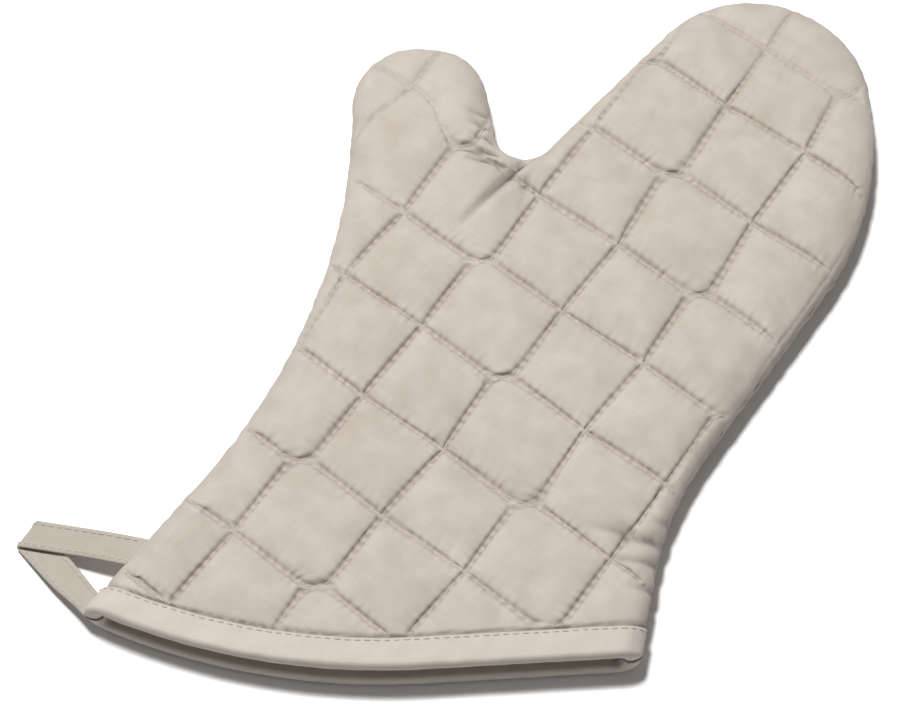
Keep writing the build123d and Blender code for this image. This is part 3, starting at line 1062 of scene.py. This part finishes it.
def newMaterial(name):
    material = bpy.data.materials.new(name)
    material.use_nodes = True
    return material, material.node_tree, material.node_tree.nodes["Principled BSDF"]


def mixed(tree, factor, dark, light):
    # A colour between two, by a factor from 0 to 1
    ends = {"A": (*dark, 1), "B": (*light, 1)}
    colour = addNode(tree, "ShaderNodeMix", ends, data_type="RGBA", clamp_factor=True)
    tree.links.new(factor, colour.inputs["Factor"])
    return colour.outputs["Result"]


def wovenFinish(name):
    values = finishes[name]
    material, tree, shader = newMaterial(name)
    setInputs(shader, {"Roughness": values["rough"], "Sheen Weight": values["sheen"],
                       "Sheen Roughness": cotton["sheenRough"], "Specular IOR Level": cotton["specular"]})
    place = addNode(tree, "ShaderNodeUVMap", uv_map="cloth")
    cloth = addNode(tree, "ShaderNodeGroup", node_tree=plainWeave)
    setInputs(cloth, {"Pitch": values["pitch"] * mm, "Slub": values["slub"], "Mottle": values["mottle"]})
    bump = addNode(tree, "ShaderNodeBump", {"Strength": values["bump"], "Distance": cotton["weaveHeight"]})
    linkAll(tree, [(place, "UV", cloth, "Map"), (cloth, "Height", bump, "Height"),
                   (bump, "Normal", shader, "Normal")])
    colour = mixed(tree, cloth.outputs["Tone"], values["dark"], values["light"])
    if "pucker" in values:
        sewnAt = addNode(tree, "ShaderNodeUVMap", uv_map="quilting")
        quilted = addNode(tree, "ShaderNodeGroup", node_tree=quiltPucker)
        pressed = addNode(tree, "ShaderNodeUVMap", uv_map="pressing")
        pressing = addNode(tree, "ShaderNodeSeparateXYZ")
        height = {"Strength": values["pucker"], "Distance": cotton["puckerHeight"]}
        ridges = addNode(tree, "ShaderNodeBump", height)
        linkAll(tree, [(sewnAt, "UV", quilted, "Map"), (pressed, "UV", pressing, 0),
                       (ridges, "Normal", bump, "Normal")])
        show = pressing.outputs["Y"]
        tree.links.new(times(quilted.outputs["Height"], show), ridges.inputs["Height"])
        line = times(quilted.outputs["ChannelShade"], show)
        # Painted shade: the colour is darkened along the stitched lines, more at the needle holes, and in the
        # deeper creases and along the binding's edge
        for factor, dark in ((line, values["channel"]), (pressing.outputs["X"], values["crease"])):
            shade = addNode(tree, "ShaderNodeMix", data_type="RGBA", blend_type="MULTIPLY", clamp_factor=True)
            shade.inputs["B"].default_value = (dark, dark, dark, 1)
            tree.links.new(factor, shade.inputs["Factor"])
            tree.links.new(colour, shade.inputs["A"])
            colour = shade.outputs["Result"]
    tree.links.new(colour, shader.inputs["Base Color"])
    return material


def threadFinish():
    # Cotton sewing thread, with the twist of its plies
    material, tree, shader = newMaterial("sewingThread")
    setInputs(shader, {"Roughness": thread["rough"], "Sheen Weight": thread["sheen"]})
    place = addNode(tree, "ShaderNodeTexCoord")
    grain = addNode(tree, "ShaderNodeTexNoise", {"Scale": thread["grain"], "Detail": 2.0})
    tree.links.new(place.outputs["Object"], grain.inputs["Vector"])
    colour = mixed(tree, grain.outputs["Fac"], thread["dark"], thread["light"])
    tree.links.new(colour, shader.inputs["Base Color"])
    return material


looks = {name: wovenFinish(name) for name in finishes}
looks["sewingThread"] = threadFinish()
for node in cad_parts.values():
    node.data.materials.clear()
    node.data.materials.append(looks["sewingThread"])
print("finishes made")

frontQuilting = sewRow("frontQuilting", frontRuns, quilt["stitch"])
backQuilting = sewRow("backQuilting", backRuns, quilt["stitch"])
frontBindingRow = sewRow("frontBindingRow", bindingRun(1, seed=31), stitch["bindingPitch"])
backBindingRow = sewRow("backBindingRow", bindingRun(-1, seed=32), stitch["bindingPitch"])
loopRow = sewRow("loopRow", loopRuns(), stitch["loopPitch"])
print("rows of stitches sewn")


dressed = [
    (frontShell, "shellCloth", "shell_cloth", "front_shell"),
    (backShell, "shellCloth", "shell_cloth", "back_shell"),
    (frontBatting, "battingFelt", "batting", "front_batting"),
    (backBatting, "battingFelt", "batting", "back_batting"),
    (frontLining, "liningCloth", "lining_cloth", "front_lining"),
    (backLining, "liningCloth", "lining_cloth", "back_lining"),
    (frontBinding, "bindingTape", "binding_tape", "front_cuff_binding"),
    (backBinding, "bindingTape", "binding_tape", "back_cuff_binding"),
    (frontQuilting, None, "thread", "front_quilt_thread"),
    (backQuilting, None, "thread", "back_quilt_thread"),
    (frontBindingRow, None, "thread", "front_binding_thread"),
    (backBindingRow, None, "thread", "back_binding_thread"),
]
for piece, look, slot, node in dressed:
    if look:
        piece.data.materials.append(looks[look])
    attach(piece, "mitt")
    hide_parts(node)

hangLoop.data.materials.append(looks["loopTape"])
bendStart = loopPlaces(np.array([0.0]), np.array([0.0]), np.array([0.0]))[0] * mm
for piece, node, slot in ((hangLoop, "hang_loop", "binding_tape"), (loopRow, "loop_edge_thread", "thread")):
    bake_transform(piece)
    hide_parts(node)

# Camera at the photograph's angle
view = {"azimuth": 36.0, "elevation": 63.0, "distance": 972.0, "target": (-16.2, -19.8, 0.0),
        "focalPixels": 2469.0, "imageWidth": 900, "sensor": 36.0, "clipStart": 0.01}


def makeCamera():
    # Places the camera, and gives the ways to the picture's right and to its top
    a = math.radians(view["azimuth"])
    e = math.radians(view["elevation"])
    back = Vector((math.sin(a) * math.cos(e), -math.cos(a) * math.cos(e), math.sin(e)))
    right = Vector((math.cos(a), math.sin(a), 0))
    up = back.cross(right)
    data = bpy.data.cameras.new("camera")
    data.sensor_width = view["sensor"]
    data.lens = view["focalPixels"] * view["sensor"] / view["imageWidth"]
    data.clip_start = view["clipStart"]
    camera = newObject("camera", data)
    turn = Matrix((right, up, back)).transposed().to_4x4()
    camera.matrix_world = Matrix.Translation((Vector(view["target"]) + back * view["distance"]) * mm) @ turn
    bpy.context.scene.camera = camera
    return right, up


right, up = makeCamera()

# Light: one broad lamp from the picture's upper left, and a soft pale room
light = {"key": 35.6, "keySize": 0.3, "keyDistance": 1.9, "room": 0.13, "way": (-0.18, 0.18, 1.0)}


def seenDirectly(tree):
    # 1 where the room is looked at, also in a mirror or through glass, and 0 where it only gives light
    path = addNode(tree, "ShaderNodeLightPath")
    seen = path.outputs["Is Camera Ray"]
    for ray in ("Is Glossy Ray", "Is Transmission Ray"):
        seen = maths(tree, "MAXIMUM", seen, path.outputs[ray])
    return seen


def makeLight():
    # Lights the scene, and gives the lamp's place
    flatUp = Vector((up.x, up.y, 0)).normalized()
    flatRight = Vector((right.x, right.y, 0)).normalized()
    across, onward, high = light["way"]
    toKey = (flatRight * across + flatUp * onward + Vector((0, 0, high))).normalized()
    data = bpy.data.lights.new("key", "AREA")
    data.energy = light["key"]
    data.size = light["keySize"]
    key = newObject("key", data)
    key.location = toKey * light["keyDistance"]
    key.rotation_euler = toKey.to_track_quat("Z", "Y").to_euler()
    world = bpy.data.worlds.new("room")
    bpy.context.scene.world = world
    world.use_nodes = True
    tree = world.node_tree
    tree.nodes.clear()
    out = addNode(tree, "ShaderNodeOutputWorld")
    soft = addNode(tree, "ShaderNodeBackground", {"Strength": light["room"]})
    white = addNode(tree, "ShaderNodeBackground", {"Color": (1, 1, 1, 1)})
    mix = addNode(tree, "ShaderNodeMixShader")
    tree.links.new(seenDirectly(tree), mix.inputs["Fac"])
    linkAll(tree, [(soft, 0, mix, 1), (white, 0, mix, 2), (mix, 0, out, "Surface")])
    return key.location


lampAt = makeLight()
bpy.context.scene.view_settings.view_transform = "Standard"

# Floor: white paper, shown brighter than it is where the lamp's light falls off, so only the shadow is grey
floorPaper = {"half": 3.0, "below": 0.0002, "albedo": 0.78, "near": 0.3, "far": 1.0, "gain": 1.36,
              "farGain": 2.0}


def makeFloor():
    half = floorPaper["half"]
    mesh = bpy.data.meshes.new("floor")
    corners = [(-half, -half, 0), (half, -half, 0), (half, half, 0), (-half, half, 0)]
    mesh.from_pydata(corners, [], [(0, 1, 2, 3)])
    floor = newObject("floor", mesh)
    floor.location.z = -floorPaper["below"]
    surface, tree, plain = newMaterial("floorPaper")
    tree.nodes.remove(plain)
    paper = addNode(tree, "ShaderNodeBsdfDiffuse")
    place = addNode(tree, "ShaderNodeTexCoord")
    away = addNode(tree, "ShaderNodeVectorMath", {1: (lampAt.x, lampAt.y, 0)}, operation="DISTANCE")
    gain = addNode(tree, "ShaderNodeMapRange", {"From Min": floorPaper["near"], "From Max": floorPaper["far"],
                                               "To Min": floorPaper["gain"], "To Max": floorPaper["farGain"]})
    linkAll(tree, [(place, "Object", away, 0), (away, "Value", gain, "Value"),
                   (paper, "BSDF", tree.nodes["Material Output"], "Surface")])
    more = times(maths(tree, "SUBTRACT", gain.outputs["Result"], 1.0), seenDirectly(tree))
    white = times(plus(more, 1.0), floorPaper["albedo"])
    tree.links.new(white, paper.inputs["Color"])
    mesh.materials.append(surface)


makeFloor()
print("camera, light and floor set")
